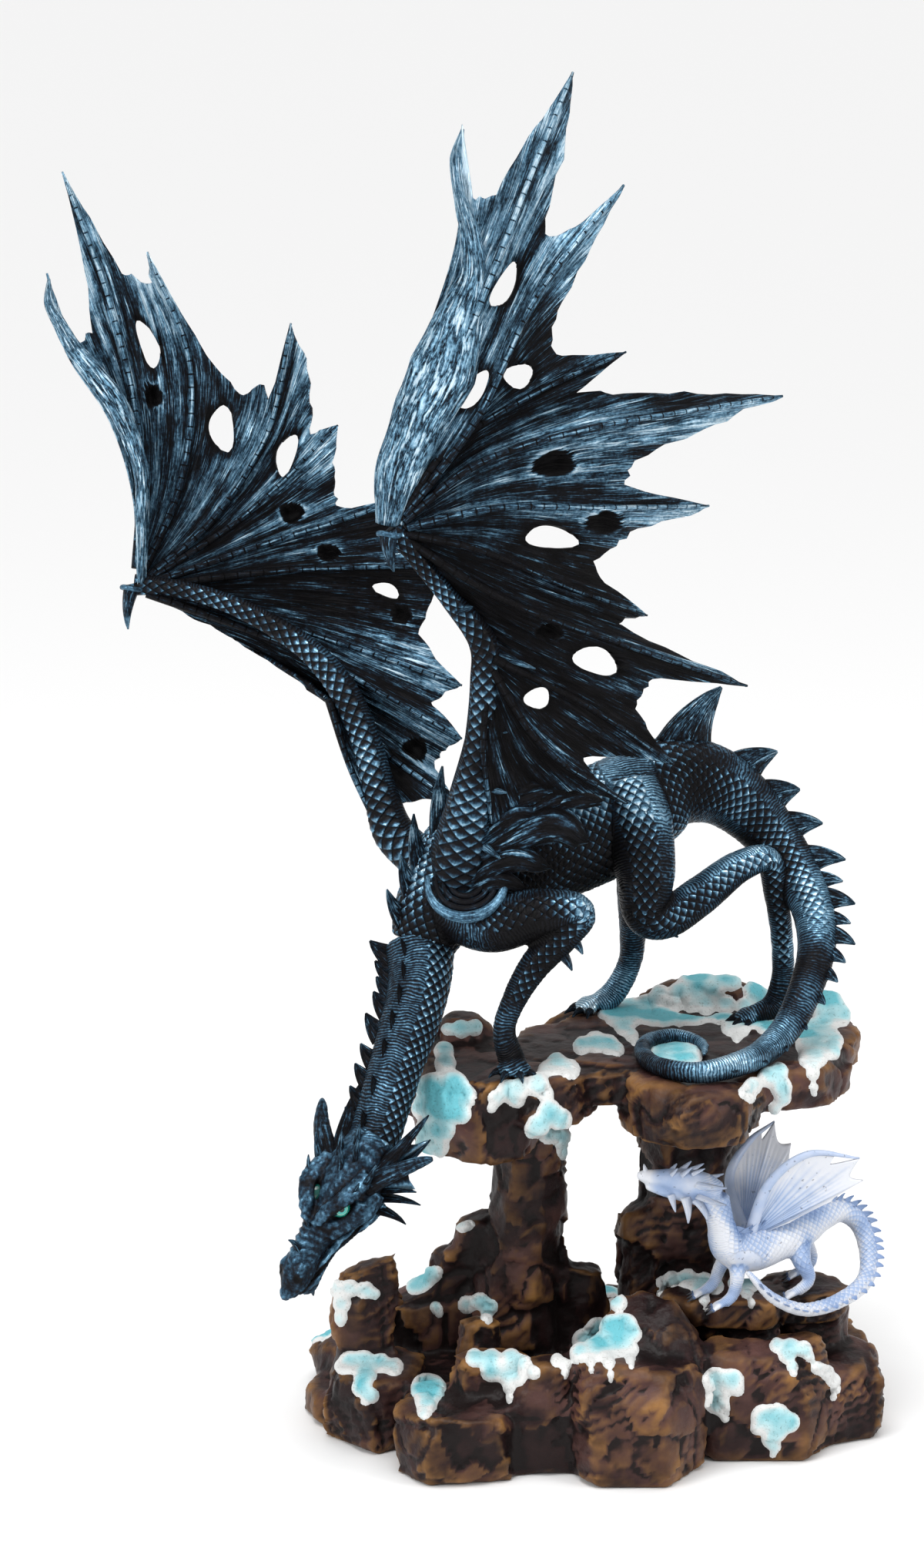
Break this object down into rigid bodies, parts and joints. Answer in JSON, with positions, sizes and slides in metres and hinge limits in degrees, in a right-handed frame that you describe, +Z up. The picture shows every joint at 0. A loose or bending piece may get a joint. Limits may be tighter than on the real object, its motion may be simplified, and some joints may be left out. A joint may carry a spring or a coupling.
{
  "type": "dragon statue",
  "caption": "Cast and painted statue of a horned winged dragon stalking down over a snowy rock plinth with a small pale hatchling on a ledge.",
  "frame": {"origin": "middle of the plinth's flat underside", "axes": "+Z up, -Y toward the side the statue is looked at from, +X toward the dragon's tail, so its head hangs to -X"},
  "size_m": [0.4111, 0.2242, 0.652],
  "materials": {
    "rock_paint": "cast resin, brown and purple-brown stone colours with ochre edges under a satin varnish",
    "dragon_paint": "cast resin, near black with metallic blue dry-brushed on every raised scale and rib",
    "hatchling_paint": "cast resin, white with soft blue shading, satin",
    "snow_paint": "raised relief painted white with turquoise centres, finely grained",
    "eye_paint": "green glossy paint with a dark pupil"
  },
  "bodies": {
    "root": {"plinth": "rock_paint", "dragon_body": "dragon_paint", "head_neck": "dragon_paint", "left_wing": "dragon_paint", "right_wing": "dragon_paint", "hatchling": "hatchling_paint"}
  },
  "joints": []
}
